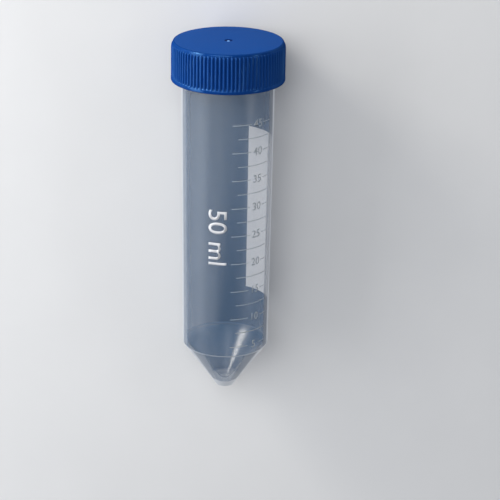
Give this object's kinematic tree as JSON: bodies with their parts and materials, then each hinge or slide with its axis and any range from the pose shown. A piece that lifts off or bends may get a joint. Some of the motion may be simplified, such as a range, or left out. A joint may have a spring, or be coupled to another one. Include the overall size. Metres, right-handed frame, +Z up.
{
  "type": "conical centrifuge tube",
  "caption": "Conical-bottomed translucent plastic tube for 50 ml with a ribbed blue screw cap, printed scale and writing area, lying on its side.",
  "frame": {"origin": "middle of the footprint, on the surface that the tube lies on", "axes": "+Z up; the tube lies along X with its cap towards +X, and the printed scale faces up"},
  "size_m": [0.1172, 0.0356, 0.0359],
  "materials": {
    "tube": "translucent natural polypropylene, satin",
    "cap": "opaque blue polyethylene, glossy"
  },
  "bodies": {
    "tube": {"tube": "tube"},
    "cap": {"cap": "cap"}
  },
  "joints": [
    {"name": "cap_lift", "type": "slide", "parent": "tube", "child": "cap", "axis": [0.999, 0, 0.0448], "range_m": [0, 0.03]}
  ]
}
